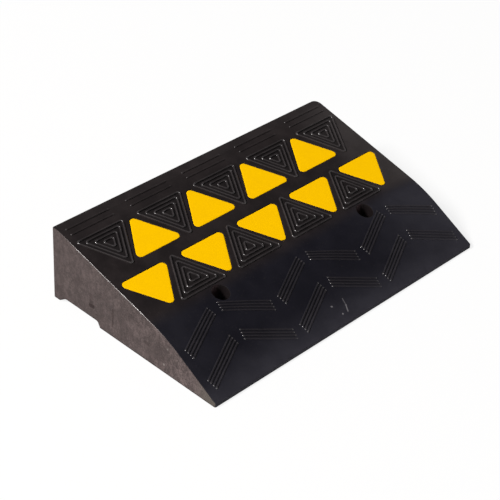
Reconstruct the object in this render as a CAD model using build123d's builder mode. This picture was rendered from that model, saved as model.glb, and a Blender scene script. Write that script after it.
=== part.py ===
from build123d import *
from math import asin, atan2, cos, degrees, hypot, radians, sin, tan
import os

os.makedirs("parts", exist_ok=True)

# Rubber kerb ramp in millimetres: X runs along the kerb, +Y towards the kerb, +Z up.
# The origin is under the middle of the base.

# Wedge
ramp_length = 500.0
ramp_depth = 305.0
ramp_height = 109.0
crest_width = 12.0  # level strip beside the kerb
knee_height = 56.0  # where the two slopes would meet
knee_blend = 27.5  # from that meeting point to each end of the curve between the slopes
nose_height = 5.5  # upright lip on the road side
end_draft = 1.15  # lean of the two ends, in degrees
corner_radius = 5.0  # standing corners at the kerb
rim_radius = 1.6  # rim of the walking surface
end_margin = 2.0  # least plain rubber between the pattern and an end

# Drain channel under the ramp, open at both ends
channel_setback = 12.5  # foot left beside the kerb
channel_width = 80.0
channel_depth = 8.2
channel_rear_run = 12.0  # sloped wall on the kerb side
channel_front_run = 4.0
channel_rear_radius = 10.0
channel_front_radius = 2.0

# Bolt holes, sunk from the top
hole_spacing = 277.0
hole_setback = 16.0  # from the knee towards the kerb
hole_diameter = 14.0  # clears an M12 bolt
recess_diameter = 24.0
seat_height = 22.0  # rubber left under the bolt's washer

# Ribs of the upper slope
rib_width = 2.4

# Short ribs beside the crest, one pair behind each black triangle
line_rib_offset = 4.2  # from the crest's edge down the upper slope
line_rib_pitch = 10.4
line_rib_count = 2
line_rib_length = 72.0
line_rib_height = 1.2

# Two rows of triangles on the upper slope, yellow and black by turns
band_gap = 14.0  # from the last line rib to the first row
triangle_pitch = 101.2
triangle_height = 64.2
row_gap = 20.0
knee_margin = 5.0  # from the last row to the start of the knee's curve

# Black triangles: rings of rib, one inside the other, measured where the middles of the sides would meet
tread_base = 78.0
tread_height = 67.7
ring_pitch = 5.7
ring_height = 1.8
ring_corner = 1.6  # inside each ring

# Yellow inlays
inlay_base = 82.0
inlay_corner = 6.0
inlay_thickness = 2.0
inlay_sink = 0.3  # below the rubber round it
inlay_clearance = 0.3  # round its edge
inlay_edge = 0.4  # rounding of its upper edge

# Chevrons on the lower slope, laid out as seen from above
chevron_pitch = 162.9
chevron_row_pitch = 40.7
chevron_angle = 24.8
chevron_leg = 73.7
chevron_gap = 13.8  # between the two legs at the peak
chevron_rib_pitch = 3.9
chevron_rib_width = 2.0
chevron_rib_height = 1.0
chevron_rib_count = 4
chevron_lean = 14.0  # slant of a leg's ends, in degrees: each rib starts nearer to the peak than the one above
chevron_rise = 6.7  # first peak, from the knee towards the kerb
nose_margin = 9.0  # least plain rubber between the last chevrons and the nose

# Places on the upper slope, measured down it from the crest's edge
band_start = line_rib_offset + (line_rib_count - 1) * line_rib_pitch + band_gap
band_middle = band_start + triangle_height + row_gap / 2
band_end = band_start + 2 * triangle_height + row_gap
upper_length = band_end + knee_margin + knee_blend
upper_angle = asin((ramp_height - knee_height) / upper_length)

# Side profile, as pairs of Y and Z
kerb_y = ramp_depth / 2
nose_y = -ramp_depth / 2
crest_y = kerb_y - crest_width
knee_y = crest_y - upper_length * cos(upper_angle)
lower_angle = atan2(knee_height - nose_height, knee_y - nose_y)
knee_radius = knee_blend / tan((lower_angle - upper_angle) / 2)
wedge_corners = [
    (nose_y, 0),
    (kerb_y, 0),
    (kerb_y, ramp_height),
    (crest_y, ramp_height),
    (knee_y, knee_height),
    (nose_y, nose_height),
]
walked_on = cos(lower_angle) / 2  # a face is part of the walking surface if its normal's Z is above this
hole_y = knee_y + hole_setback
channel_y = kerb_y - channel_setback
channel_corners = [
    (channel_y, 0),
    (channel_y - channel_rear_run, channel_depth),
    (channel_y - channel_width + channel_front_run, channel_depth),
    (channel_y - channel_width, 0),
]

# Sketches on the upper slope have X along the kerb and Y up the slope
upper_slope = Plane(
    origin=(0, crest_y, ramp_height),
    x_dir=(1, 0, 0),
    z_dir=(0, -sin(upper_angle), cos(upper_angle)),
)


def row_places(count, pitch):
    return [(step - (count - 1) / 2) * pitch for step in range(count)]


# How many triangles fit along the ramp, and rings in a black one
end_lean = ramp_height * tan(radians(end_draft))
pattern_length = ramp_length - 2 * (end_lean + end_margin)
front_count = int((pattern_length - inlay_base) // triangle_pitch) + 1
front_places = row_places(front_count, triangle_pitch)
back_places = row_places(front_count - 1, triangle_pitch)
tread_side = hypot(tread_base / 2, tread_height)
tread_inradius = tread_base * tread_height / (tread_base + 2 * tread_side)
ring_count = int((tread_inradius - rib_width / 2 - ring_corner) // ring_pitch) + 1


# Outline of the wedge without its channel, grown on every side
def wedge_side(growth):
    with BuildSketch(Plane.YZ) as side:
        Polygon(*wedge_corners, align=None)
        fillet(side.vertices().sort_by_distance((knee_y, knee_height))[0], knee_radius)
        if growth > 0:
            offset(amount=growth, kind=Kind.INTERSECTION)
    return side.sketch


# Rounded triangle inside one edge of a ring, at an inset from the line of the outer ring
def ring_edge(centre, base_at, apex_at, inset, corner):
    towards_apex = 1 if apex_at > base_at else -1
    half_apex = atan2(tread_base / 2, tread_height)
    base_line = base_at + towards_apex * inset
    tip = apex_at - towards_apex * inset / sin(half_apex)
    half_base = abs(tip - base_line) * tan(half_apex)
    with BuildSketch() as edge:
        Polygon((centre - half_base, -base_line), (centre + half_base, -base_line), (centre, -tip), align=None)
        fillet(edge.vertices(), corner)
    return edge.sketch


# Outline of one yellow inlay, or of its pocket when it is grown by the clearance
def inlay_outline(plane, centre, base_at, apex_at, growth):
    with BuildSketch(plane) as outline:
        Polygon(
            (centre - inlay_base / 2, -base_at),
            (centre + inlay_base / 2, -base_at),
            (centre, -apex_at),
            align=None,
        )
        fillet(outline.vertices(), inlay_corner)
        if growth > 0:
            offset(amount=growth)
    return outline.sketch


# Each inlay's name, centre along the kerb, and base and apex down the slope
back_base = band_middle - row_gap / 2
front_base = band_middle + row_gap / 2
inlays = [(f"inlay_back_{n + 1}", x, back_base, band_start) for n, x in enumerate(back_places)]
inlays += [(f"inlay_front_{n + 1}", x, front_base, band_end) for n, x in enumerate(front_places)]

# Black triangles stand the other way up between the inlays of each row
treads = [(x, band_start, band_start + tread_height) for x in front_places]
treads += [(x, band_end, band_end - tread_height) for x in back_places]

# Chevron legs: the place of each peak, row by row, and which way its leg falls
leg_run = chevron_leg * cos(radians(chevron_angle))
leg_fall = chevron_leg * sin(radians(chevron_angle))
rib_lean = tan(radians(chevron_lean))
rib_fall = chevron_rib_pitch / (cos(radians(chevron_angle)) + rib_lean * sin(radians(chevron_angle)))
stack_fall = (chevron_rib_count - 1) * rib_fall
chevron_span = chevron_gap + 2 * leg_run
chevron_count = int((pattern_length - chevron_span) // chevron_pitch) + 1
chevron_start = knee_y + chevron_rise
chevron_room = chevron_start - nose_y - nose_margin - leg_fall - stack_fall
chevron_rows = int(chevron_room // chevron_row_pitch) + 1
legs = [
    (peak_x, chevron_start - row * chevron_row_pitch, side)
    for row in range(chevron_rows)
    for peak_x in row_places(chevron_count, chevron_pitch)
    for side in (-1, 1)
]


# Ribs of one chevron leg, as seen from above, on a plane below the walking surface
def chevron_leg_plan(peak_x, peak_y, side):
    centre_x = peak_x + side * (chevron_gap + leg_run) / 2
    centre_y = peak_y - (leg_fall + stack_fall) / 2
    with BuildSketch(Plane.XY.offset(nose_height / 2)) as plan:
        for lift in row_places(chevron_rib_count, rib_fall):
            with Locations((centre_x + side * lift * rib_lean, centre_y + lift)):
                Rectangle(chevron_leg, chevron_rib_width, rotation=-side * chevron_angle)
    return plan.sketch


# The space that the chevron ribs may fill: the wedge, raised by one rib
with BuildPart() as rib_reach:
    extrude(wedge_side(chevron_rib_height), amount=ramp_length / 2, both=True)

# Moulded rubber wedge
with BuildPart() as ramp_body:
    extrude(wedge_side(0), amount=ramp_length / 2, both=True)
    for side in (-1, 1):
        outwards = (side * cos(radians(end_draft)), 0, sin(radians(end_draft)))
        split(bisect_by=Plane((side * ramp_length / 2, 0, 0), z_dir=outwards), keep=Keep.BOTTOM)
    kerb_face = ramp_body.faces().sort_by(Axis.Y)[-1]
    fillet(kerb_face.edges().filter_by(Axis.X, reverse=True), corner_radius)
    walking_faces = ramp_body.faces().filter_by(lambda face: face.normal_at().Z > walked_on)
    inner_length = ramp_length / 2 - end_lean - corner_radius
    inner_depth = ramp_depth / 2 - corner_radius
    rim = walking_faces.edges().filter_by(
        lambda edge: abs(edge.center().X) > inner_length or abs(edge.center().Y) > inner_depth
    )
    fillet(rim, rim_radius)

    # Drain channel
    with BuildSketch(Plane.YZ) as channel:
        Polygon(*channel_corners, align=None)
        fillet(channel.vertices().sort_by_distance(channel_corners[1])[0], channel_rear_radius)
        fillet(channel.vertices().sort_by_distance(channel_corners[2])[0], channel_front_radius)
    extrude(amount=ramp_length / 2, both=True, mode=Mode.SUBTRACT)

    # Ribs beside the crest
    with BuildSketch(upper_slope) as line_ribs:
        for x in front_places:
            for step in range(line_rib_count):
                with Locations((x, -(line_rib_offset + step * line_rib_pitch))):
                    Rectangle(line_rib_length, rib_width)
    extrude(amount=line_rib_height)

    # Rings of the black triangles
    with BuildSketch(upper_slope) as rings:
        for x, base_at, apex_at in treads:
            for ring in range(ring_count):
                outer = ring * ring_pitch - rib_width / 2
                add(ring_edge(x, base_at, apex_at, outer, ring_corner + rib_width))
                add(ring_edge(x, base_at, apex_at, outer + rib_width, ring_corner), mode=Mode.SUBTRACT)
    extrude(amount=ring_height)

    # Chevron ribs follow the knee and the lower slope
    for peak_x, peak_y, side in legs:
        leg = extrude(chevron_leg_plan(peak_x, peak_y, side), amount=ramp_height, mode=Mode.PRIVATE)
        add(leg & rib_reach.part)

    # Pockets for the inlays
    for name, x, base_at, apex_at in inlays:
        pocket = inlay_outline(upper_slope, x, base_at, apex_at, inlay_clearance)
        extrude(pocket, amount=-(inlay_thickness + inlay_sink), mode=Mode.SUBTRACT)
        extrude(pocket, amount=ring_height, mode=Mode.SUBTRACT)

    # Bolt holes with a recess for the head
    with Locations((0, hole_y, ramp_height)):
        with GridLocations(hole_spacing, 0, 2, 1):
            CounterBoreHole(
                radius=hole_diameter / 2,
                counter_bore_radius=recess_diameter / 2,
                counter_bore_depth=ramp_height - seat_height,
                depth=ramp_height,
            )
ramp_body.part.label = "ramp_body"
export_step(ramp_body.part, "parts/ramp_body.step")

# Yellow inlays, each bedded on the floor of its pocket
pocket_floor = upper_slope.offset(-(inlay_thickness + inlay_sink))
for name, x, base_at, apex_at in inlays:
    with BuildPart() as inlay:
        extrude(inlay_outline(pocket_floor, x, base_at, apex_at, 0), amount=inlay_thickness)
        top = inlay.faces().sort_by(Axis(upper_slope.origin, upper_slope.z_dir))[-1]
        fillet(top.edges(), inlay_edge)
    inlay.part.label = name
    export_step(inlay.part, f"parts/{name}.step")

print(f"slopes {degrees(upper_angle):.2f} and {degrees(lower_angle):.2f} degrees")
print(f"knee at Y {knee_y:.2f} mm with radius {knee_radius:.1f} mm, bolt holes at Y {hole_y:.2f} mm")
print(f"{front_count} front inlays, {ring_count} rings, {chevron_count} chevrons in {chevron_rows} rows")
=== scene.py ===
import bmesh
import bpy
import math
from bisect import bisect_right
from mathutils import Matrix, Vector
from mathutils.geometry import delaunay_2d_cdt


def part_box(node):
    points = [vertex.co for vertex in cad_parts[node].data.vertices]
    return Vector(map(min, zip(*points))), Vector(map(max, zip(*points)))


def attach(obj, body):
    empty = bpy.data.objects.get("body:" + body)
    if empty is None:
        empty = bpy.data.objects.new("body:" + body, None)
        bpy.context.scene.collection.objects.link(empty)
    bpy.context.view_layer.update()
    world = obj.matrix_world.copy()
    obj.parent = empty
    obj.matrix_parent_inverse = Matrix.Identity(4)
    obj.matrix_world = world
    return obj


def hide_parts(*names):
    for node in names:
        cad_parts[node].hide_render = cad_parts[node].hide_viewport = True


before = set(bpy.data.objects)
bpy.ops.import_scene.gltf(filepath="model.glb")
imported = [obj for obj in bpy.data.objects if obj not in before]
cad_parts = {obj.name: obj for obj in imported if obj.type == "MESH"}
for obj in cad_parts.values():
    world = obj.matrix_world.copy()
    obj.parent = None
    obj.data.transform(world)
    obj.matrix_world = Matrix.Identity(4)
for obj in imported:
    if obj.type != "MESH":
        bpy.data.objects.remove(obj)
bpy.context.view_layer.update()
scene = bpy.context.scene
print("frame loaded:", len(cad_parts), "nodes")


# Wedge: side profile from the nose at the road to the kerb, in metres
wedge = {
    "height": 0.109,  # crest above the road
    "crestWidth": 0.012,
    "crestBlend": 0.002,  # soft break between the crest and the upper slope
    "upperLength": 0.2095,  # from the crest's edge to where the two slopes would meet
    "kneeHeight": 0.056,
    "kneeBlend": 0.0275,  # from that meeting point to each end of the curve
    "noseHeight": 0.0055,
    "draft": math.tan(math.radians(1.15)),  # the ends lean inwards
    "stepDegrees": 0.5,  # bend between two points of the profile
}
channel = {
    "setback": 0.0125,  # foot left beside the kerb
    "width": 0.080,
    "depth": 0.0082,
    "rearRun": 0.012,  # sloped wall on the kerb side
    "frontRun": 0.004,
    "blends": (0.0006, 0.00125, 0.0031, 0.0012),  # tangent lengths from the front mouth to the rear one
    "stepDegrees": 9,
    "lead": 0.001,  # stretch in front of it that is meshed with it
}

bodyLow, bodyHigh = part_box("ramp_body")
halfLength = bodyHigh.x
kerbY = bodyHigh.y
noseY = bodyLow.y
crestY = kerbY - wedge["crestWidth"]
upperAngle = math.asin((wedge["height"] - wedge["kneeHeight"]) / wedge["upperLength"])
kneeY = crestY - wedge["upperLength"] * math.cos(upperAngle)


# Points (y, z, slope angle) along a line whose inner corners are rounded
def roundedLine(corners, blends, stepDegrees):
    angles = [math.atan2(b[1] - a[1], b[0] - a[0]) for a, b in zip(corners, corners[1:])]
    line = [(*corners[0], angles[0])]
    for corner, blend, before, after in zip(corners[1:], blends, angles, angles[1:]):
        turn = after - before
        radius = blend / math.tan(turn / 2)  # negative where the line turns down
        centreY = corner[0] - blend * math.cos(before) - radius * math.sin(before)
        centreZ = corner[1] - blend * math.sin(before) + radius * math.cos(before)
        steps = max(2, math.ceil(abs(math.degrees(turn)) / stepDegrees))
        for k in range(steps + 1):
            angle = before + turn * k / steps
            line.append((centreY + radius * math.sin(angle), centreZ - radius * math.cos(angle), angle))
    line.append((*corners[-1], angles[-1]))
    return line


# Height and slope angle of such a line at y
def lineAt(line, y):
    after = min(max(bisect_right(line, (y,)), 1), len(line) - 1)
    first, last = line[after - 1], line[after]
    share = (y - first[0]) / (last[0] - first[0])
    return first[1] + (last[1] - first[1]) * share, first[2] + (last[2] - first[2]) * share


topCorners = [
    (noseY, wedge["noseHeight"]),
    (kneeY, wedge["kneeHeight"]),
    (crestY, wedge["height"]),
    (kerbY, wedge["height"]),
]
topLine = roundedLine(topCorners, (wedge["kneeBlend"], wedge["crestBlend"]), wedge["stepDegrees"])
channelRear = kerbY - channel["setback"]
channelFront = channelRear - channel["width"]
footCorners = [
    (noseY, 0.0),
    (channelFront, 0.0),
    (channelFront + channel["frontRun"], channel["depth"]),
    (channelRear - channel["rearRun"], channel["depth"]),
    (channelRear, 0.0),
    (kerbY, 0.0),
]
footLine = roundedLine(footCorners, channel["blends"], channel["stepDegrees"])


# A point over the walking surface, lifted square to it
def onRamp(x, y, lift=0.0):
    z, angle = lineAt(topLine, y)
    return Vector((x, y - math.sin(angle) * lift, z + math.cos(angle) * lift))


# From a place (x, distance down the upper slope) to the plan (x, y)
def slopeToPlan(point):
    return Vector((point.x, crestY - point.y * math.cos(upperAngle)))


# Places in a row, evenly spaced about the middle
def spread(count, pitch):
    return [(k - (count - 1) / 2) * pitch for k in range(count)]


square = ((-1, -1), (1, -1), (1, 1), (-1, 1))  # signs of a rectangle's corners, in order
cornerSteps = 8  # along each rounded corner


# Rounded outline of a convex polygon as (point, outward direction), moved inwards by inset
def outlineOf(corners, radii, inset, steps=cornerSteps):
    outline = []
    for k, corner in enumerate(corners):
        toBefore = (corners[k - 1] - corner).normalized()
        toAfter = (corners[(k + 1) % len(corners)] - corner).normalized()
        inwards = (toBefore + toAfter).normalized()
        halfAngle = toBefore.angle(toAfter) / 2
        reach = (radii[k] + inset) / math.sin(halfAngle)
        centre = corner + inwards * reach
        side = 1 if toBefore.x * toAfter.y > toBefore.y * toAfter.x else -1
        for step in range(steps + 1):
            swing = (math.pi / 2 - halfAngle) * (2 * step / steps - 1) * -side
            outwards = Matrix.Rotation(swing, 2) @ -inwards
            outline.append((centre + outwards * radii[k], outwards))
    return outline


# Adds evenly spaced points to the straight runs of an outline, and one close to each end of a long run
def subdivided(outline, spacing, guard):
    finer = []
    for (point, outwards), (after, _) in zip(outline, outline[1:] + outline[:1]):
        length = (after - point).length
        pieces = max(1, round(length / spacing))
        shares = [k / pieces for k in range(1, pieces)]
        if length > 4 * guard:
            shares = [guard / length] + shares + [1 - guard / length]
        finer.append((point, outwards))
        finer += [(point.lerp(after, share), None) for share in shares]
    return finer


# Walking surface: loops drawn in plan, each lifted to its own height, then filled with triangles
pointMarks = ("wear", "paintedShade")  # shares carried by each point, read by the rubber: wear with painted highlight, and painted shade
skin = {"plan": [], "places": [], "edges": [], "wear": [], "paintedShade": []}


def addLoop(planPoints, lift=0.0, places=None, marks=None):
    first = len(skin["plan"])
    count = len(planPoints)
    skin["plan"] += planPoints
    skin["places"] += places or [onRamp(p.x, p.y, lift) for p in planPoints]
    skin["edges"] += [(first + k, first + (k + 1) % count) for k in range(count)]
    for name in pointMarks:
        skin[name] += (marks or {}).get(name) or [0.0] * count
    return list(range(first, first + count))


# Section of every rib: outset as a share of half its width, lift as one of its height, and wear with
# painted highlight
ribs = {
    "foot": [(0.38, 0.0, 0.0), (0.12, 0.02, 0.0), (0.0, 0.14, 0.2)],
    "crownShare": 0.62,  # part of the height that is round
    "crownDegrees": (8, 24, 40, 56, 72, 86),
    "crownWear": 0.4,  # where the crown starts
    "cornerFade": 0.0016,  # from the wear and painted highlight of an end or corner to that of a side
    "leastCorner": 0.00006,
    "endSteps": 3,  # along each rounded corner of a straight rib
}
ribSection = list(ribs["foot"])
for crownTurn in map(math.radians, ribs["crownDegrees"]):
    crownLift = 1 - ribs["crownShare"] * (1 - math.sin(crownTurn))
    ribSection.append((math.cos(crownTurn) - 1, crownLift, min(1.0, ribs["crownWear"] + crownTurn)))


# Wear and painted highlight of a rib's loop, at its ends and corners and along its sides
def wearAndHighlightAlong(loop, wear, rib):
    return [wear * rib["endWearAndHighlight" if outwards else "sideWearAndHighlight"] for _, outwards in loop]


lineRibs = {
    "offset": 0.0042,  # from the crest's edge down the slope
    "pitch": 0.0104,
    "count": 2,
    "length": 0.072,
    "ribWidth": 0.0024,
    "ribHeight": 0.0012,
    "corner": 0.0009,
    "spacing": 0.024,  # of the points along a rib
    "endWearAndHighlight": 0.75,
    "sideWearAndHighlight": 0.10,
}
rows = {
    "bandGap": 0.0140,  # from the last line rib to the first row
    "pitch": 0.1012,
    "height": 0.0642,
    "rowGap": 0.020,
    "frontCount": 5,  # inlays in the front row
    "backCount": 4,
}
treads = {
    "base": 0.078,  # where the middles of the outer ring's sides would meet
    "height": 0.0677,
    "ribWidth": 0.0024,
    "ribHeight": 0.0018,
    "ringPitch": 0.0057,
    "ringCount": 4,
    "corner": 0.0016,  # inside each ring
    "spacing": 0.012,
    "endWearAndHighlight": 1.0,
    "sideWearAndHighlight": 0.45,
    # painted shade between the rings
    "paintedShade": 0.65,
}
chevrons = {
    "pitch": 0.1629,
    "count": 3,
    "rowPitch": 0.0407,
    "rows": 2,
    "angle": math.radians(24.8),
    "length": 0.0737,  # of one leg
    "gap": 0.0138,  # between the two legs at the peak
    "ribPitch": 0.0039,
    "ribWidth": 0.0020,
    "ribHeight": 0.0010,
    "ribCount": 4,
    "lean": math.radians(14),  # slant of a leg's ends
    "rise": 0.0067,  # first peak, from the knee towards the kerb
    "corner": 0.00095,
    "spacing": 0.005,
    "endWearAndHighlight": 1.5,
    "sideWearAndHighlight": 0.24,
    # painted shade between the ribs of a leg
    "paintedShade": 0.25,
}
bandStart = lineRibs["offset"] + (lineRibs["count"] - 1) * lineRibs["pitch"] + rows["bandGap"]
backBase = bandStart + rows["height"]
frontBase = backBase + rows["rowGap"]
bandEnd = frontBase + rows["height"]
frontPlaces = spread(rows["frontCount"], rows["pitch"])
backPlaces = spread(rows["backCount"], rows["pitch"])
keepOut = []  # (centre, half length, half width, angle) of what the knee's own points stay clear of


# One straight rib with rounded ends, as nested loops, with the painted shade of its front and back side
def addBar(bar, centre, angle, toPlan, paintedShade=(0.0, 0.0)):
    turn = Matrix.Rotation(angle, 2)
    half = Vector((bar["length"], bar["ribWidth"])) / 2
    corners = [centre + turn @ Vector((half.x * i, half.y * j)) for i, j in square]
    back = turn @ Vector((0, 1))
    for outShare, liftShare, wear in ribSection:
        outset = outShare * half.y
        radius = max(bar["corner"] + outset, ribs["leastCorner"])
        loop = outlineOf(corners, [radius] * 4, -outset, ribs["endSteps"])
        loop = subdivided(loop, bar["spacing"], ribs["cornerFade"])
        bareShadedValley = [
            0.0 if outwards else paintedShade[(point - centre).dot(back) > 0]
            for point, outwards in loop
        ]
        marks = {"wear": wearAndHighlightAlong(loop, wear, bar), "paintedShade": bareShadedValley}
        addLoop([toPlan(point) for point, _ in loop], liftShare * bar["ribHeight"], marks=marks)


def addLineRibs():
    for x in frontPlaces:
        for k in range(lineRibs["count"]):
            centre = Vector((x, lineRibs["offset"] + k * lineRibs["pitch"]))
            addBar(lineRibs, centre, 0.0, slopeToPlan)


def triangle(x, base, baseAt, apexAt):
    return [Vector((x - base / 2, baseAt)), Vector((x + base / 2, baseAt)), Vector((x, apexAt))]


# Rings of rib, one inside the other
def addTread(x, baseAt, apexAt):
    corners = triangle(x, treads["base"], baseAt, apexAt)
    halfWidth = treads["ribWidth"] / 2
    middle = treads["corner"] + halfWidth  # radius of a corner along the middle of its rib
    for ring in range(treads["ringCount"]):
        for outShare, liftShare, wear in ribSection:
            lift = liftShare * treads["ribHeight"]
            for side in (-1, 1):
                shift = side * halfWidth * (1 + outShare)
                loop = outlineOf(corners, [middle - shift] * 3, ring * treads["ringPitch"] + shift)
                loop = subdivided(loop, treads["spacing"], ribs["cornerFade"])
                # painted shade on every side but the outer ring's outside
                outside = ring == 0 and side == -1
                marks = {
                    "wear": wearAndHighlightAlong(loop, wear, treads),
                    "paintedShade": [0.0 if outside else treads["paintedShade"]] * len(loop),
                }
                addLoop([slopeToPlan(point) for point, _ in loop], lift, marks=marks)


# Ribs of one chevron leg, from the uppermost down
def addLeg(peakX, peakY, side):
    angle = chevrons["angle"]
    run = chevrons["length"] * math.cos(angle)
    fall = chevrons["length"] * math.sin(angle)
    lean = math.tan(chevrons["lean"])
    ribFall = chevrons["ribPitch"] / (math.cos(angle) + lean * math.sin(angle))  # from rib to rib
    last = chevrons["ribCount"] - 1
    for rib in range(chevrons["ribCount"]):
        lift = (last / 2 - rib) * ribFall
        centreX = peakX + side * ((chevrons["gap"] + run) / 2 + lift * lean)
        centre = Vector((centreX, peakY - fall / 2 - rib * ribFall))
        turn = -side * angle
        keepOut.append((centre, chevrons["length"] / 2, chevrons["ribWidth"] / 2, turn))
        # painted shade on the sides that face a neighbouring rib
        paintedShade = [chevrons["paintedShade"] * hasNeighbour for hasNeighbour in (rib < last, rib > 0)]
        addBar(chevrons, centre, turn, Vector, paintedShade)


def addChevrons():
    for row in range(chevrons["rows"]):
        peakY = kneeY + chevrons["rise"] - row * chevrons["rowPitch"]
        for peakX in spread(chevrons["count"], chevrons["pitch"]):
            for side in (-1, 1):
                addLeg(peakX, peakY, side)


# Inlays and the pockets that hold them
inlay = {
    "base": 0.082,
    "corner": 0.006,
    "leastCorner": 0.0008,  # of the loops towards its middle
    "thickness": 0.002,
    "sink": 0.0003,  # below the rubber round it
}
pocketDepth = inlay["thickness"] + inlay["sink"]
pocketSection = [  # outset from the inlay's outline, and lift
    (0.0013, 0.0),
    (0.0010, -0.00004),
    (0.0008, -0.0002),
    (0.00068, -0.0005),
    (0.0006, -pocketDepth),
]
inlayPlaces = [(f"inlay_back_{k + 1}", x, backBase, bandStart) for k, x in enumerate(backPlaces)]
inlayPlaces += [(f"inlay_front_{k + 1}", x, frontBase, bandEnd) for k, x in enumerate(frontPlaces)]


def addPocket(x, baseAt, apexAt):
    corners = triangle(x, inlay["base"], baseAt, apexAt)
    for outset, lift in pocketSection:
        loop = outlineOf(corners, [inlay["corner"] + outset] * 3, -outset)
        addLoop([slopeToPlan(point) for point, _ in loop], lift)


# Bolt holes: a round recess down to a seat, and the hole through it
boltHoles = {
    "spacing": 0.277,
    "setback": 0.016,  # from the knee towards the kerb
    "recess": 0.012,  # radii
    "hole": 0.007,
    "seat": 0.022,  # above the road
    # Outset and lift of the rounded mouth, then the depth of the straight wall's top
    "mouth": [(0.0007, 0.0), (0.00045, -0.00003), (0.00022, -0.0001), (0.00008, -0.00025)],
    "mouthDepth": 0.0012,
    # Steps aside and up or down along the rounded edges at the recess's floor, the road and the seat
    "softEdge": [(0.0, 0.001), (0.0003, 0.0003), (0.001, 0.0)],
    "seatEdge": [(0.0008, 0.0), (0.0002, 0.0002), (0.0, 0.0008)],
    "clear": 0.001,  # kept free round the recess
    "points": 56,
}
holeY = kneeY + boltHoles["setback"]
holePlaces = [Vector((x, holeY)) for x in spread(2, boltHoles["spacing"])]


def circle(centre, radius):
    turns = [2 * math.pi * k / boltHoles["points"] for k in range(boltHoles["points"])]
    return [centre + Vector((math.cos(a), math.sin(a))) * radius for a in turns]


def addHoleMouth(centre):
    reach = boltHoles["recess"] + boltHoles["clear"]
    keepOut.append((centre, reach, reach, 0.0))
    for outset, lift in boltHoles["mouth"]:
        last = addLoop(circle(centre, boltHoles["recess"] + outset), lift)
    return last


# Points that carry the curve of the knee between the ribs
kneePoints = {
    "stepX": 0.011,
    "stepY": 0.0055,
    "clear": 0.0024,  # least distance from ribs and holes
    "margin": 0.006,  # and from the ends
}


def isClear(point):
    for centre, reach, width, angle in keepOut:
        local = Matrix.Rotation(-angle, 2) @ (point - centre)
        if abs(local.x) < reach + kneePoints["clear"] and abs(local.y) < width + kneePoints["clear"]:
            return False
    return True


def addKneePoints():
    stepX, stepY = kneePoints["stepX"], kneePoints["stepY"]
    reach = halfLength - kneePoints["margin"]
    lastRow = math.ceil(2 * wedge["kneeBlend"] / stepY)
    lastColumn = int(2 * reach / stepX)
    for row in range(lastRow + 1):
        y = kneeY + (row - lastRow / 2) * stepY
        for column in range(lastColumn + 1):
            point = Vector(((column - lastColumn / 2 + row % 2 / 2) * stepX, y))
            if abs(point.x) <= reach and isClear(point):
                skin["plan"].append(point)
                skin["places"].append(onRamp(*point))
                for name in pointMarks:
                    skin[name].append(0.0)


# Walls, and the rounded edges above and below them
walls = {
    "corners": (0.0024, 0.0024, 0.008, 0.003),  # from above: front left, front right, back right, back left
    "step": 0.006,  # spacing of the points along the outline
    "leastStep": 0.0003,
    "longRun": 0.1,  # straight runs are longer than this
    "guard": 0.0015,  # narrow strip that keeps the walls flat beside their rounded edges
    "straight": 1e-6,  # an end's outward direction has no more than this along Y
    "flatWeight": 80,  # how far large faces set the shading
}
topRim = {
    "line": topLine,
    "upwards": 1,
    "radius": 0.001,
    "leftExtra": 0.0004,  # rounder on the left end
    "shares": (0.2, 0.4, 0.6, 0.8, 1.0),  # of the rounding, from the top to the wall
    "wear": 0.65,  # at most, on the left end
    "lowWear": 0.5,  # share of it beside the lower slope
    "wearRise": (-0.065, -0.015),  # Y between which it grows to the full
    "wearFall": (0.105, 0.145),  # and between which it fades to nothing
}
bottomRim = {
    "line": footLine,
    "upwards": -1,
    "radius": 0.0007,
    "leftExtra": 0.0,
    "shares": (1.0, 0.67, 0.33, 0.0),  # of the rounding, from the wall to the underside
}


# Outline of the walls in plan as (point, outward direction), with a point wherever the underside bends
def wallOutline():
    corners = [Vector((i * halfLength, noseY if j < 0 else kerbY)) for i, j in square]
    radii = walls["corners"]
    arcs = outlineOf(corners, radii, 0.0)
    lowest = noseY + max(radii[:2])
    highest = kerbY - max(radii[2:])
    steps = round((highest - lowest) / walls["step"])
    ends = [lowest + (highest - lowest) * k / steps for k in range(1, steps)]
    ends = sorted(ends + [point[0] for point in footLine[1:-1]])
    ends = [y for y, before in zip(ends, [lowest] + ends) if y - before > walls["leastStep"]]
    outline = []
    for (point, outwards), (after, _) in zip(arcs, arcs[1:] + arcs[:1]):
        outline.append((point, outwards))
        run = after - point
        if abs(run.y) > walls["longRun"]:  # along an end
            ordered = ends if run.y > 0 else ends[::-1]
            outline += [(Vector((point.x, y)), outwards) for y in ordered]
        elif abs(run.x) > walls["longRun"]:  # along the nose or the kerb
            pieces = round(abs(run.x) / walls["step"])
            outline += [(point.lerp(after, k / pieces), outwards) for k in range(1, pieces)]
    return outline


# Point on the rounding between a wall and a face, from the face at 0 to the wall at 1
def edgeRound(point, z, outwards, normal, radius, share):
    edge = Vector((point.x * (1 - wedge["draft"] * z / halfLength), point.y, z))
    level = outwards.to_3d()
    faceNormal = (level * level.dot(normal) + Vector((0, 0, normal.z))).normalized()
    wallNormal = (level + Vector((0, 0, wedge["draft"] * abs(level.x)))).normalized()
    centre = edge - (wallNormal + faceNormal) * (radius / (1 + wallNormal.dot(faceNormal)))
    return centre + faceNormal.slerp(wallNormal, share) * radius


def rimLoop(rim, outline, share):
    loop = []
    for point, outwards in outline:
        z, angle = lineAt(rim["line"], point.y)
        normal = Vector((0, -math.sin(angle), math.cos(angle))) * rim["upwards"]
        radius = rim["radius"] + rim["leftExtra"] * max(0.0, -outwards.x)
        loop.append(edgeRound(point, z, outwards, normal, radius, share))
    return loop


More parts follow.
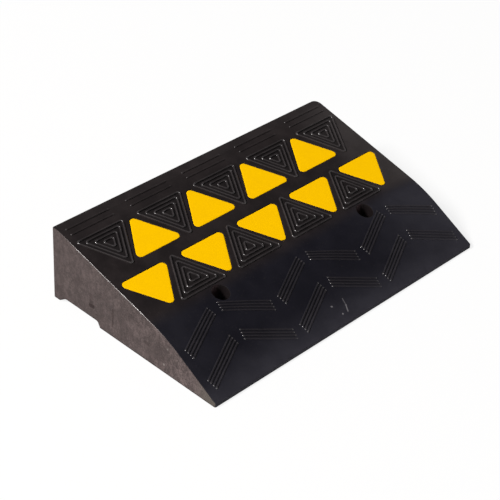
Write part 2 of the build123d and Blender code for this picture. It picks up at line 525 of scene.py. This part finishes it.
# Wear and painted highlight of the top rim: most along the upper left edge
def rimWearAndHighlight(outline, share):
    riseStart, riseEnd = topRim["wearRise"]
    fallStart, fallEnd = topRim["wearFall"]
    worn = []
    for point, outwards in outline:
        rise = (point.y - riseStart) / (riseEnd - riseStart)
        fall = (fallEnd - point.y) / (fallEnd - fallStart)
        along = min(1.0, max(topRim["lowWear"], rise)) * min(1.0, max(0.0, fall))
        worn.append(topRim["wear"] * math.sin(math.pi * share) * max(0.0, -outwards.x) * along)
    return worn


# Moves a loop down its wall
def slidDown(loop, outline, drop):
    return [
        place + Vector((outwards.x * wedge["draft"], 0, -1)) * drop
        for place, (_, outwards) in zip(loop, outline)
    ]


insideOnly = 1  # of the triangulation: leave out what lies outside the loops
mergeDistance = 1e-8


# Fills loops drawn in plan with triangles, leaving out those that span a hole's own points
def fillPlan(plan, edges, holes):
    _, _, faces, origins, _, _ = delaunay_2d_cdt(plan, edges, [], insideOnly, mergeDistance)
    filled = [[origins[k][0] for k in face] for face in faces]
    return [corners for corners in filled if not any(hole.issuperset(corners) for hole in holes)]


# Points, faces and marks of a piece, gathered before its mesh is made
class MeshParts:
    def __init__(self):
        self.verts = []
        self.faces = []
        self.marks = {name: [] for name in pointMarks}

    def addVerts(self, places, marks=None):
        first = len(self.verts)
        self.verts += places
        for name in pointMarks:
            self.marks[name] += (marks or {}).get(name) or [0.0] * len(places)
        return list(range(first, len(self.verts)))

    # Adds one more loop, and the faces between it and the last one
    def extend(self, loop, places, marks=None):
        after = self.addVerts(places, marks)
        count = len(loop)
        for k in range(count):
            self.faces.append((loop[k], loop[(k + 1) % count], after[(k + 1) % count], after[k]))
        return after

    def makeObject(self, name):
        mesh = bpy.data.meshes.new(name)
        mesh.from_pydata(self.verts, [], self.faces)
        for mark, shares in self.marks.items():
            mesh.attributes.new(mark, "FLOAT", "POINT").data.foreach_set("value", shares)
        work = bmesh.new()
        work.from_mesh(mesh)
        loose = [v for v in work.verts if not v.link_faces]
        bmesh.ops.delete(work, geom=loose, context="VERTS")
        bmesh.ops.recalc_face_normals(work, faces=work.faces)
        openEdges = sum(1 for e in work.edges if len(e.link_faces) != 2)
        work.to_mesh(mesh)
        work.free()
        mesh.shade_smooth()
        piece = bpy.data.objects.new(name, mesh)
        scene.collection.objects.link(piece)
        print(name, len(mesh.vertices), "points", len(mesh.polygons), "faces", openEdges, "open edges")
        return piece


# Walking surface of the body; gives its border and the mouths of the bolt holes
def addTop(body, outline):
    rim = rimLoop(topRim, outline, 0.0)
    border = addLoop([place.to_2d() for place in rim], places=rim, marks={"wear": rimWearAndHighlight(outline, 0.0)})
    addLineRibs()
    for x in frontPlaces:
        addTread(x, bandStart, bandStart + treads["height"])
    for x in backPlaces:
        addTread(x, bandEnd, bandEnd - treads["height"])
    addChevrons()
    for _, x, baseAt, apexAt in inlayPlaces:
        addPocket(x, baseAt, apexAt)
    mouths = [addHoleMouth(centre) for centre in holePlaces]
    addKneePoints()
    body.addVerts(skin["places"], skin)
    body.faces += fillPlan(skin["plan"], skin["edges"], [set(mouth) for mouth in mouths])
    print("walking surface:", len(skin["plan"]), "points", len(body.faces), "triangles")
    return border, mouths


# Walls, from the rounded rim to the rounded foot; gives the last loop
def addWalls(body, outline, loop):
    for share in topRim["shares"]:
        loop = body.extend(loop, rimLoop(topRim, outline, share), {"wear": rimWearAndHighlight(outline, share)})
    loop = body.extend(loop, slidDown(rimLoop(topRim, outline, 1.0), outline, walls["guard"]))
    loop = body.extend(loop, slidDown(rimLoop(bottomRim, outline, 1.0), outline, -walls["guard"]))
    # the foot's loops carry painted shade: a painted shadow along the foot
    for share in bottomRim["shares"]:
        loop = body.extend(loop, rimLoop(bottomRim, outline, share), {"paintedShade": [1.0] * len(outline)})
    return loop


# Bolt hole, from its mouth down to the road; gives the last ring
def addHole(body, centre, ring):
    recess, hole, seat = boltHoles["recess"], boltHoles["hole"], boltHoles["seat"]
    levels = [(recess - inwards, seat + up) for inwards, up in boltHoles["softEdge"]]
    levels += [(hole + outwards, seat - down) for outwards, down in boltHoles["seatEdge"]]
    levels += [(hole + outwards, up) for outwards, up in boltHoles["softEdge"]]
    wallTop = [onRamp(*point) - Vector((0, 0, boltHoles["mouthDepth"])) for point in circle(centre, recess)]
    rings = [[p.to_3d() + Vector((0, 0, z)) for p in circle(centre, radius)] for radius, z in levels]
    for places in [wallTop] + rings:
        ring = body.extend(ring, places)
    return ring


# Underside with its drain channel, inside the foot's loop and round the holes
def addUnderside(body, outline, loop, rings):
    order = loop + [k for ring in rings for k in ring]
    plan = [body.verts[k].to_2d() for k in order]
    edges = []
    holes = []
    first = 0
    for count in [len(loop)] + [len(ring) for ring in rings]:
        edges += [(first + k, first + (k + 1) % count) for k in range(count)]
        holes.append(set(range(first, first + count)))
        first += count

    # An edge from end to end wherever the channel bends
    across = {}
    for k, (point, outwards) in enumerate(outline):
        if abs(outwards.y) < walls["straight"] and point.y > channelFront - channel["lead"]:
            across.setdefault(round(point.y, 6), []).append(k)  # to the micrometre
    edges += [tuple(pair) for pair in across.values() if len(pair) == 2]
    body.faces += [[order[k] for k in face] for face in fillPlan(plan, edges, holes[1:])]


def makeBody():
    body = MeshParts()
    outline = wallOutline()
    border, mouths = addTop(body, outline)
    foot = addWalls(body, outline, border)
    rings = [addHole(body, centre, mouth) for centre, mouth in zip(holePlaces, mouths)]
    addUnderside(body, outline, foot, rings)
    piece = body.makeObject("rampBody")
    flatFaces = piece.modifiers.new("flatFaces", "WEIGHTED_NORMAL")
    flatFaces.weight = walls["flatWeight"]
    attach(piece, "root")
    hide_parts("ramp_body")
    return piece


# Inlay section from its bed to its middle: inset from the outline, and height above the pocket's floor
inlaySection = [
    (0.0002, 0.0),
    (0.0, 0.0002),
    (0.0, 0.0016),
    (0.00012, 0.00188),
    (0.0004, inlay["thickness"]),
    (0.0012, 0.00202),
    (0.005, 0.00204),
    (0.011, 0.00205),
]


def makeInlay(node, x, baseAt, apexAt):
    plate = MeshParts()
    corners = triangle(x, inlay["base"], baseAt, apexAt)
    loop = None
    for inset, level in inlaySection:
        radius = max(inlay["corner"] - inset, inlay["leastCorner"])
        outline = [slopeToPlan(point) for point, _ in outlineOf(corners, [radius] * 3, inset)]
        places = [onRamp(p.x, p.y, level - pocketDepth) for p in outline]
        if loop:
            loop = plate.extend(loop, places)
        else:
            loop = plate.addVerts(places)
            plate.faces.append(loop)
    plate.faces.append(loop)
    words = node.split("_")
    piece = plate.makeObject(words[0] + "".join(word.capitalize() for word in words[1:]))
    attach(piece, "root")
    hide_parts(node)
    return piece


rampBody = makeBody()
inlays = [makeInlay(*place) for place in inlayPlaces]


# Node helpers: an input is a value, or an output of another node
def setInputs(tree, node, inputs):
    for name, value in inputs.items():
        if isinstance(value, bpy.types.NodeSocket):
            tree.links.new(value, node.inputs[name])
        else:
            node.inputs[name].default_value = value


def addNode(tree, kind, inputs=None, **settings):
    node = tree.nodes.new(kind)
    for name, value in settings.items():
        setattr(node, name, value)
    setInputs(tree, node, inputs or {})
    return node


def calc(tree, operation, first, second=0.0, clamp=False):
    node = addNode(tree, "ShaderNodeMath", {0: first, 1: second}, operation=operation, use_clamp=clamp)
    return node.outputs[0]


def ramp(tree, value, low, high, toLow=0.0, toHigh=1.0):
    inputs = {"Value": value, "From Min": low, "From Max": high, "To Min": toLow, "To Max": toHigh}
    return addNode(tree, "ShaderNodeMapRange", inputs, interpolation_type="SMOOTHSTEP").outputs["Result"]


# Ramp between two places, both measured from a line of the wedge
def rampFrom(tree, value, line, steps, toLow=0.0, toHigh=1.0):
    return ramp(tree, value, line + steps[0], line + steps[1], toLow, toHigh)


def mixColour(tree, share, first, second):
    inputs = {0: share, 6: first, 7: second}
    return addNode(tree, "ShaderNodeMix", inputs, data_type="RGBA").outputs[2]


# One colour laid over another, where the mask shows it
def coat(tree, under, colour, mask, share):
    return mixColour(tree, calc(tree, "MULTIPLY", mask, share), under, colour)


def noise(tree, vector, scale, detail=3.0, roughness=0.55):
    inputs = {"Vector": vector, "Scale": scale, "Detail": detail, "Roughness": roughness}
    return addNode(tree, "ShaderNodeTexNoise", inputs).outputs["Fac"]


# Patches of noise with its own scale along each axis
def patches(tree, place, pattern):
    scale, detail, roughness, edge, share = pattern
    stretched = addNode(tree, "ShaderNodeMapping", {"Vector": place, "Scale": scale}).outputs["Vector"]
    return ramp(tree, noise(tree, stretched, 1.0, detail, roughness), *edge, 0.0, share)


def newMaterial(name):
    material = bpy.data.materials.new(name)
    material.use_nodes = True
    return material, material.node_tree, material.node_tree.nodes["Principled BSDF"]


def newGroup(name, inputs, outputs):
    tree = bpy.data.node_groups.new(name, "ShaderNodeTree")
    for label, kind in inputs.items():
        tree.interface.new_socket(name=label, in_out="INPUT", socket_type="NodeSocket" + kind)
    for label, kind in outputs.items():
        tree.interface.new_socket(name=label, in_out="OUTPUT", socket_type="NodeSocket" + kind)
    return tree, tree.nodes.new("NodeGroupInput"), tree.nodes.new("NodeGroupOutput")


def placeGroup(tree, group, inputs):
    return addNode(tree, "ShaderNodeGroup", inputs, node_tree=group).outputs


# Moulded surface: fine grain for the bump, slow clouds and small crumbs
moulding = {
    "fineShare": 0.35,
    "broadScale": 0.16,  # as a share of the grain's scale
    "cloudEdge": (0.32, 0.68),
    "crumbScale": 0.5,
    "crumbEdge": (0.42, 0.18),
    "crumbPick": (0.90, 0.97),  # few cells hold a crumb
}


def makeGrainGroup():
    tree, given, result = newGroup(
        "mouldedGrain",
        {"Place": "Vector", "Grain": "Float", "Clouds": "Float"},
        {"Height": "Float", "Cloud": "Float", "Crumb": "Float"},
    )
    place, scale = given.outputs["Place"], given.outputs["Grain"]
    fine = noise(tree, place, scale, detail=4.0, roughness=0.6)
    broad = noise(tree, place, calc(tree, "MULTIPLY", scale, moulding["broadScale"]), detail=2.0)
    height = calc(tree, "ADD", calc(tree, "MULTIPLY", fine, moulding["fineShare"]), broad)
    cloud = noise(tree, place, given.outputs["Clouds"], detail=5.0, roughness=0.6)
    cloud = ramp(tree, cloud, *moulding["cloudEdge"])
    cellScale = calc(tree, "MULTIPLY", scale, moulding["crumbScale"])
    cells = addNode(tree, "ShaderNodeTexVoronoi", {"Vector": place, "Scale": cellScale, "Randomness": 1.0})
    pick = addNode(tree, "ShaderNodeSeparateColor", {"Color": cells.outputs["Color"]}).outputs[0]
    few = ramp(tree, pick, *moulding["crumbPick"])
    crumb = calc(tree, "MULTIPLY", ramp(tree, cells.outputs["Distance"], *moulding["crumbEdge"]), few)
    setInputs(tree, result, {"Height": height, "Cloud": cloud, "Crumb": crumb})
    return tree


# Scrape or smudge along a straight line, broken up by a little noise
ragged = {
    "noise": 1500.0,
    "share": 0.9,  # of the width
    "least": 0.1,
    "edge": (1.0, 0.6),
}


def makeScrapeGroup():
    tree, given, result = newGroup(
        "scrape",
        {"Place": "Vector", "Start": "Vector", "End": "Vector", "Width": "Float"},
        {"Mask": "Float"},
    )

    def vectorMath(operation, first, second):
        return addNode(tree, "ShaderNodeVectorMath", {0: first, 1: second}, operation=operation)

    along = vectorMath("SUBTRACT", given.outputs["End"], given.outputs["Start"]).outputs["Vector"]
    reach = vectorMath("SUBTRACT", given.outputs["Place"], given.outputs["Start"]).outputs["Vector"]
    dots = [vectorMath("DOT_PRODUCT", v, along).outputs["Value"] for v in (reach, along)]
    share = calc(tree, "DIVIDE", dots[0], dots[1], clamp=True)
    nearest = addNode(tree, "ShaderNodeVectorMath", {0: along, "Scale": share}, operation="SCALE")
    away = vectorMath("DISTANCE", reach, nearest.outputs["Vector"]).outputs["Value"]
    rough = noise(tree, given.outputs["Place"], ragged["noise"], detail=2.0)
    rough = calc(tree, "ADD", calc(tree, "MULTIPLY", rough, ragged["share"]), ragged["least"])
    edge = calc(tree, "MULTIPLY", given.outputs["Width"], rough)
    setInputs(tree, result, {"Mask": ramp(tree, calc(tree, "DIVIDE", away, edge), *ragged["edge"])})
    return tree


mouldedGrain = makeGrainGroup()
scrape = makeScrapeGroup()


def placeGrain(tree, place, finish):
    inputs = {"Place": place, "Grain": finish["grain"], "Clouds": finish["clouds"]}
    return placeGroup(tree, mouldedGrain, inputs)


def placeScrape(tree, place, start, end, width):
    inputs = {"Place": place, "Start": start, "End": end, "Width": width}
    return placeGroup(tree, scrape, inputs)["Mask"]


def setBump(tree, shader, height, finish):
    bump = addNode(tree, "ShaderNodeBump", {**finish["bump"], "Height": height})
    setInputs(tree, shader, {"Normal": bump.outputs["Normal"]})


# Black rubber: worn top, dusty walls
rubber = {
    "deep": (0.0084, 0.0058, 0.0062, 1),  # upper slope and crest
    "brown": (0.0145, 0.0102, 0.0106, 1),
    "roadDeep": (0.0028, 0.0026, 0.0066, 1),  # lower slope, tinted blue as a painted reflection of bluish light
    "roadGrey": (0.0042, 0.0038, 0.0086, 1),
    "bareShadedValley": (0.0044, 0.0033, 0.0037, 1),  # between ribs: painted shade, with less dust there
    "crumb": (0.030, 0.026, 0.025, 1),
    "worn": (0.048, 0.040, 0.042, 1),  # crowns of the ribs: wear and painted highlight
    "roadDustAndSheen": (0.0285, 0.0275, 0.0365, 1),  # dust and painted sheen on the lower slope
    "kerbDustAndSheen": (0.036, 0.031, 0.031, 1),  # dust and painted sheen on the upper slope
    "hole": (0.0064, 0.0038, 0.0042, 1),  # side that faces left, kept dark as painted shade where the lamp lights it
    "holePaintedLight": (0.062, 0.040, 0.043, 1),  # side that faces right, lightened as painted light where the lamp leaves shade
    "scrape": (0.16, 0.155, 0.165, 1),
    "dust": (0.118, 0.0880, 0.0850, 1),  # walls and underside
    "dustShade": (0.064, 0.0474, 0.0458, 1),
    "dustTip": (0.080, 0.072, 0.060, 1),  # near the nose
    "speck": (0.16, 0.14, 0.13, 1),
    "mark": (0.0385, 0.0288, 0.0277, 1),
    # colour of smudges, and of the painted shadow along the foot
    "smudgeAndFootShadow": (0.0080, 0.0012, 0.0006, 1),
    "grain": 1100.0,
    "clouds": 34.0,
    "evenness": 0.8,  # least share of a film, of wear with painted highlight and of painted shade
    "bump": {"Strength": 0.25, "Distance": 0.0003},
}
topFilm = {  # where the top changes its colour
    "knee": (0.036, 0.010),  # brown-black to blue-black, the blue a painted reflection of bluish light, from the knee
    "crumbs": 0.5,
    "nose": (0.0475, -0.0075),  # dust and painted sheen of the lower slope, from the nose
    "roadEnds": ((0.08, 0.83), (-0.17, 0.2)),  # right and left: X where more starts, and its share
    "kerbRight": 0.15,  # dust and painted sheen of the upper slope, from this X to the right end
    "crestThin": (0.006, -0.010),  # thinner on the crest, from its edge
    "crestThinShare": 0.4,
    "crest": (-0.045, -0.003),  # dust and painted light towards the crest
    "crestShare": 0.14,
    "lightWear": 0.3,
    "wearAndHighlightGrey": (0.9, 0.45),  # share of the worn colour, a wear and painted highlight, lightly and fully worn
}
scrapes = [  # start and end on the lower slope, as (x, y), width and strength
    ((-0.0157, -0.1278), (-0.0153, -0.1282), 0.0026, 1.0),
    ((0.0069, -0.1264), (0.0050, -0.1349), 0.0014, 0.6),
    ((0.0050, -0.1349), (0.0012, -0.1422), 0.0021, 0.9),
    ((-0.0084, -0.1417), (-0.0080, -0.1419), 0.0026, 1.0),
]


# What the rubber's colours and shine depend on
def readSurface(tree):
    coordinates = addNode(tree, "ShaderNodeTexCoord")
    place = coordinates.outputs["Object"]
    grain = placeGrain(tree, place, rubber)
    surface = {
        "place": place,
        "axes": addNode(tree, "ShaderNodeSeparateXYZ", {"Vector": place}).outputs,
        "facing": addNode(tree, "ShaderNodeSeparateXYZ", {"Vector": coordinates.outputs["Normal"]}).outputs,
        "grain": grain,
        "uneven": ramp(tree, grain["Cloud"], 0.0, 1.0, rubber["evenness"], 1.0),
    }
    for mark in pointMarks:
        surface[mark] = addNode(tree, "ShaderNodeAttribute", attribute_name=mark).outputs["Fac"]
    return surface


# Top: brown-black above the knee, blue-black below it as a painted bluish reflection, dust with painted
# sheen towards nose and ends, painted shade between ribs, crowns lightened by wear and painted highlight
def topColour(tree, surface):
    axes, grain, uneven = surface["axes"], surface["grain"], surface["uneven"]
    top = mixColour(tree, grain["Cloud"], rubber["deep"], rubber["brown"])
    road = mixColour(tree, grain["Cloud"], rubber["roadDeep"], rubber["roadGrey"])
    belowKnee = rampFrom(tree, axes["Y"], kneeY, topFilm["knee"])
    top = mixColour(tree, belowKnee, top, road)
    top = coat(tree, top, rubber["crumb"], grain["Crumb"], topFilm["crumbs"])

    # dust with painted sheen towards the nose and both ends of the lower slope
    roadDustAndSheen = rampFrom(tree, axes["Y"], noseY, topFilm["nose"])
    for (start, share), end in zip(topFilm["roadEnds"], (halfLength, -halfLength)):
        roadDustAndSheen = calc(tree, "MAXIMUM", roadDustAndSheen, ramp(tree, axes["X"], start, end, 0.0, share))
    roadDustAndSheen = calc(tree, "MULTIPLY", roadDustAndSheen, belowKnee)
    top = coat(tree, top, rubber["roadDustAndSheen"], roadDustAndSheen, uneven)

    # dust with painted sheen towards the right end of the upper slope, and painted light towards the crest
    kerbDustAndSheen = ramp(tree, axes["X"], topFilm["kerbRight"], halfLength)
    kerbDustAndSheen = calc(tree, "SUBTRACT", kerbDustAndSheen, belowKnee, clamp=True)
    thinner = rampFrom(tree, axes["Y"], crestY, topFilm["crestThin"], topFilm["crestThinShare"])
    toCrest = rampFrom(tree, axes["Y"], crestY, topFilm["crest"], 0.0, topFilm["crestShare"])
    kerbDustAndSheen = calc(tree, "MAXIMUM", calc(tree, "MULTIPLY", kerbDustAndSheen, thinner), toCrest)
    top = coat(tree, top, rubber["kerbDustAndSheen"], kerbDustAndSheen, uneven)

    # painted shade between ribs, with less dust there
    top = coat(tree, top, rubber["bareShadedValley"], surface["paintedShade"], uneven)
    # crowns and rib ends lightened: wear and painted highlight
    wearAndHighlightGrey = ramp(tree, surface["wear"], topFilm["lightWear"], 1.0, *topFilm["wearAndHighlightGrey"])
    wearAndHighlightGrey = calc(tree, "MULTIPLY", surface["wear"], wearAndHighlightGrey)
    top = coat(tree, top, rubber["worn"], wearAndHighlightGrey, uneven)
    for start, end, width, strength in scrapes:
        mask = placeScrape(tree, surface["place"], onRamp(*start), onRamp(*end), width)
        top = coat(tree, top, rubber["scrape"], mask, strength)
    return top


# Inside the bolt holes: brown, with painted light on the side facing right and painted shade on the side
# facing left
holeCoat = {
    "mouth": (0.0006, 0.0001),  # outside the recess's radius
    "lee": (-0.65, -0.05),  # facing right, away from the lamp: gets the painted light
    "upright": (0.4, 0.05),  # and not upwards
}


def holeColour(tree, surface, top):
    axes, facing = surface["axes"], surface["facing"]
    aside = calc(tree, "SUBTRACT", calc(tree, "ABSOLUTE", axes["X"]), boltHoles["spacing"] / 2)
    before = calc(tree, "SUBTRACT", axes["Y"], holeY)
    fromAxis = addNode(tree, "ShaderNodeCombineXYZ", {"X": aside, "Y": before}).outputs["Vector"]
    fromAxis = addNode(tree, "ShaderNodeVectorMath", {0: fromAxis}, operation="LENGTH").outputs["Value"]
    inHole = rampFrom(tree, fromAxis, boltHoles["recess"], holeCoat["mouth"])
    # painted light on the side that faces away from the lamp
    paintedLightShare = ramp(tree, facing["X"], *holeCoat["lee"])
    upright = ramp(tree, facing["Z"], *holeCoat["upright"])
    return mixColour(tree, inHole, top, coat(tree, rubber["hole"], rubber["holePaintedLight"], paintedLightShare, upright))


# Walls and underside: a film of dust with cloudy shade, mottling, flecks, upright marks and crumbs, and a
# painted shadow along the foot
dustCoat = {
    "edgeNoise": 160.0,  # the film's edge wanders
    "edgeWander": 0.0006,
    "edge": (-0.0006, -0.0001),  # from the wall
    "under": (-0.6, -0.95),  # facing down
    # Scale, detail and roughness of a noise, between which values its patches grow, and their share
    "mottle": ((170.0, 170.0, 100.0), 5.0, 0.7, (0.40, 0.64), 0.75),
    "flecks": ((360.0, 360.0, 360.0), 3.0, 0.65, (0.40, 0.62), 1.0),
    "marks": ((60.0, 60.0, 14.0), 4.0, 0.65, (0.60, 0.74), 0.25),
    "fleckNoise": 45.0,  # more flecks in some places than in others
    "fleckEdge": (0.40, 0.60),
    "fleckShare": (0.25, 0.75),
    "kerb": (0.06, 0.22),  # darker towards the kerb, from the nose
    "kerbShare": 0.38,
    "crumbs": 0.35,
    "tip": (0.040, 0.012),  # from the nose
    "tipShare": 0.7,
    "footShadowShare": 0.75,  # painted shadow: dark line along the foot
}
endMarks = [  # start and end on the left end, as (y, z), width, strength and colour
    ((0.0764, 0.0430), (0.0752, 0.0300), 0.0070, 0.35, "smudgeAndFootShadow"),
    ((0.0780, 0.0262), (0.0725, 0.0272), 0.0064, 0.65, "smudgeAndFootShadow"),
    ((0.0341, 0.0429), (0.0351, 0.0168), 0.0040, 0.45, "smudgeAndFootShadow"),
    ((-0.0260, 0.0278), (-0.0320, 0.0266), 0.0060, 0.3, "smudgeAndFootShadow"),
    ((-0.0611, 0.0127), (-0.0615, 0.0131), 0.0030, 1.0, "speck"),
    ((-0.0671, 0.0397), (-0.0675, 0.0401), 0.0026, 0.7, "speck"),
]


# Masks of the walls with the underside, and of the underside alone
def wallMasks(tree, surface):
    axes = surface["axes"]
    wander = noise(tree, surface["place"], dustCoat["edgeNoise"])
    wander = calc(tree, "MULTIPLY", wander, dustCoat["edgeWander"])
    lean = calc(tree, "MULTIPLY", axes["Z"], wedge["draft"])
    fromMiddle = calc(tree, "ADD", calc(tree, "ABSOLUTE", axes["X"]), lean)
    onEnd = rampFrom(tree, calc(tree, "ADD", fromMiddle, wander), halfLength, dustCoat["edge"])
    onKerb = rampFrom(tree, calc(tree, "ADD", axes["Y"], wander), kerbY, dustCoat["edge"])
    under = ramp(tree, surface["facing"]["Z"], *dustCoat["under"])
    return calc(tree, "MAXIMUM", calc(tree, "MAXIMUM", onEnd, onKerb), under), under


def dustColour(tree, surface, under):
    place, axes, grain = surface["place"], surface["axes"], surface["grain"]
    dust = mixColour(tree, grain["Cloud"], rubber["dust"], rubber["dustShade"])
    mottle, flecks, marks = [patches(tree, place, dustCoat[name]) for name in ("mottle", "flecks", "marks")]
    fleckShare = noise(tree, place, dustCoat["fleckNoise"])
    fleckShare = ramp(tree, fleckShare, *dustCoat["fleckEdge"], *dustCoat["fleckShare"])
    flecks = calc(tree, "MULTIPLY", flecks, fleckShare)
    toKerb = rampFrom(tree, axes["Y"], noseY, dustCoat["kerb"], 0.0, dustCoat["kerbShare"])
    for mask in (mottle, flecks, toKerb, marks):
        dust = mixColour(tree, mask, dust, rubber["mark"])
    dust = coat(tree, dust, rubber["speck"], grain["Crumb"], dustCoat["crumbs"])
    tip = rampFrom(tree, axes["Y"], noseY, dustCoat["tip"], 0.0, dustCoat["tipShare"])
    dust = coat(tree, dust, rubber["dustTip"], tip, surface["uneven"])
    for start, end, width, strength, colour in endMarks:
        ends = [Vector((-halfLength + wedge["draft"] * z, y, z)) for y, z in (start, end)]
        dust = coat(tree, dust, rubber[colour], placeScrape(tree, place, *ends, width), strength)
    # painted shadow along the foot
    footShadow = calc(tree, "MULTIPLY", surface["paintedShade"], dustCoat["footShadowShare"])
    footShadow = calc(tree, "SUBTRACT", footShadow, under, clamp=True)
    return mixColour(tree, footShadow, dust, rubber["smudgeAndFootShadow"])


# Shine: dull on walls and nose, polished on worn edges
gloss = {
    "roughness": (0.58, 0.66),
    "wallDull": 0.2,
    "nose": (-0.70, -0.95),  # facing forwards
    "noseDull": 0.25,
    "sheen": 0.25,
    "polish": 2.0,  # index of the shine on worn edges
    "polishRoughness": 0.25,
    "patchNoise": 70.0,  # polish comes in patches
    "patchEdge": (0.38, 0.60),
    "patchLeast": 0.5,
}


def setGloss(tree, shader, surface, wall):
    nose = ramp(tree, surface["facing"]["Y"], *gloss["nose"], 0.0, gloss["noseDull"])
    rough = ramp(tree, surface["grain"]["Cloud"], 0.0, 1.0, *gloss["roughness"])
    dull = calc(tree, "ADD", calc(tree, "MULTIPLY", wall, gloss["wallDull"]), nose)
    patchy = noise(tree, surface["place"], gloss["patchNoise"])
    patchy = ramp(tree, patchy, *gloss["patchEdge"], gloss["patchLeast"], 1.0)
    worn = calc(tree, "MULTIPLY", surface["wear"], surface["wear"])
    setInputs(tree, shader, {
        "Roughness": calc(tree, "ADD", rough, dull),
        "Specular IOR Level": gloss["sheen"],
        "Coat Weight": calc(tree, "MULTIPLY", worn, patchy),
        "Coat IOR": gloss["polish"],
        "Coat Roughness": gloss["polishRoughness"],
    })


def makeRubber():
    material, tree, shader = newMaterial("blackRubber")
    surface = readSurface(tree)
    top = holeColour(tree, surface, topColour(tree, surface))
    wall, under = wallMasks(tree, surface)
    dust = dustColour(tree, surface, under)
    setInputs(tree, shader, {"Base Color": mixColour(tree, wall, top, dust)})
    setGloss(tree, shader, surface, wall)
    setBump(tree, shader, surface["grain"]["Height"], rubber)
    return material


# Yellow inlays: flat signal colour, a little uneven
paint = {
    "colour": (0.98, 0.562, 0.0, 1),
    "worn": (0.93, 0.520, 0.001, 1),
    "wornShare": 0.35,
    "grain": 900.0,
    "clouds": 60.0,
    "roughness": (0.5, 0.62),
    "sheen": 0.02,
    "bump": {"Strength": 0.15, "Distance": 0.0002},
}


def makePaint():
    material, tree, shader = newMaterial("yellowInlay")
    grain = placeGrain(tree, addNode(tree, "ShaderNodeTexCoord").outputs["Object"], paint)
    setInputs(tree, shader, {
        "Base Color": coat(tree, paint["colour"], paint["worn"], grain["Cloud"], paint["wornShare"]),
        "Roughness": ramp(tree, grain["Cloud"], 0.0, 1.0, *paint["roughness"]),
        "Specular IOR Level": paint["sheen"],
    })
    setBump(tree, shader, grain["Height"], paint)
    return material


rampBody.data.materials.append(makeRubber())
yellowInlay = makePaint()
for piece in inlays:
    piece.data.materials.append(yellowInlay)
print("finishes made")


# Floor, lights and camera
studio = {
    "floorSize": 30.0,
    "floorLevel": -0.0003,  # just under the base
    "floorColour": (0.92, 0.92, 0.92, 1),
    "floorRoughness": 0.9,
    "floorSheen": 0.1,
    "floorGlow": 0.85,  # share of plain white where the floor is seen
    "backdrop": 1.0,  # brightness at the horizon
    "ceiling": 0.13,  # and overhead
    "fade": (0.0, 0.30),  # sines of the elevations between which one becomes the other
    "ambient": (1.0, 0.97, 0.97, 1),
}


# Pale floor, lifted towards white where it is seen, with the shadow kept, and clear from below
def makeFloorFinish():
    material, tree, shader = newMaterial("paleFloor")
    setInputs(tree, shader, {
        "Base Color": studio["floorColour"],
        "Roughness": studio["floorRoughness"],
        "Specular IOR Level": studio["floorSheen"],
    })
    rays = addNode(tree, "ShaderNodeLightPath").outputs
    seen = calc(tree, "ADD", rays["Is Camera Ray"], rays["Is Glossy Ray"], clamp=True)
    seen = calc(tree, "ADD", seen, rays["Is Transmission Ray"], clamp=True)
    white = addNode(tree, "ShaderNodeEmission", {"Strength": 1.0}).outputs["Emission"]
    share = calc(tree, "MULTIPLY", seen, studio["floorGlow"])
    above = addNode(tree, "ShaderNodeMixShader", {0: share, 1: shader.outputs["BSDF"], 2: white})
    below = addNode(tree, "ShaderNodeNewGeometry").outputs["Backfacing"]
    clear = addNode(tree, "ShaderNodeBsdfTransparent").outputs["BSDF"]
    surface = addNode(tree, "ShaderNodeMixShader", {0: below, 1: above.outputs["Shader"], 2: clear})
    setInputs(tree, tree.nodes["Material Output"], {"Surface": surface.outputs["Shader"]})
    return material


def makeFloor():
    size, level = studio["floorSize"], studio["floorLevel"]
    mesh = bpy.data.meshes.new("floor")
    mesh.from_pydata([(i * size, j * size, level) for i, j in square], [], [(0, 1, 2, 3)])
    floor = bpy.data.objects.new("floor", mesh)
    scene.collection.objects.link(floor)
    mesh.materials.append(makeFloorFinish())


lamps = {
    "keyLeft": {"place": (-9.80, 3.22, 9.44), "size": 2.8, "power": 2660, "colour": (1.0, 0.98, 0.96)},
    "fillFront": {"place": (2.60, -3.10, 1.65), "size": 1.6, "power": 2.6, "colour": (0.90, 0.93, 1.0)},
}


def makeLamps():
    for name, lamp in lamps.items():
        data = bpy.data.lights.new(name, "AREA")
        data.energy = lamp["power"]
        data.size = lamp["size"]
        data.color = lamp["colour"]
        light = bpy.data.objects.new(name, data)
        light.location = lamp["place"]
        light.rotation_euler = (-Vector(lamp["place"])).to_track_quat("-Z", "Y").to_euler()
        scene.collection.objects.link(light)


def makeWorld():
    world = bpy.data.worlds.new("studio")
    scene.world = world
    world.use_nodes = True
    tree = world.node_tree
    direction = addNode(tree, "ShaderNodeTexCoord").outputs["Generated"]
    rise = addNode(tree, "ShaderNodeSeparateXYZ", {"Vector": direction}).outputs["Z"]
    brightness = ramp(tree, rise, *studio["fade"], studio["backdrop"], studio["ceiling"])
    setInputs(tree, tree.nodes["Background"], {"Strength": brightness, "Color": studio["ambient"]})


# Camera at the photograph's viewing angle
view = {
    "place": (-1.2226, -1.1113, 1.1945),
    "azimuth": math.radians(-46.808),
    "elevation": math.radians(35.098),
    "roll": math.radians(2.583),
    "lens": 107.895,
    "sensor": 36.0,
}


def makeCamera():
    flat = math.cos(view["elevation"])
    back = Vector((
        math.sin(view["azimuth"]) * flat,
        -math.cos(view["azimuth"]) * flat,
        math.sin(view["elevation"]),
    ))
    level = (-back).to_track_quat("-Z", "Y").to_matrix()
    rolled = level @ Matrix.Rotation(view["roll"], 3, "Z")
    data = bpy.data.cameras.new("camera")
    data.lens = view["lens"]
    data.sensor_width = view["sensor"]
    camera = bpy.data.objects.new("camera", data)
    camera.matrix_world = Matrix.Translation(view["place"]) @ rolled.to_4x4()
    scene.collection.objects.link(camera)
    scene.camera = camera


makeFloor()
makeLamps()
makeWorld()
makeCamera()
scene.view_settings.view_transform = "Standard"
print("studio ready")
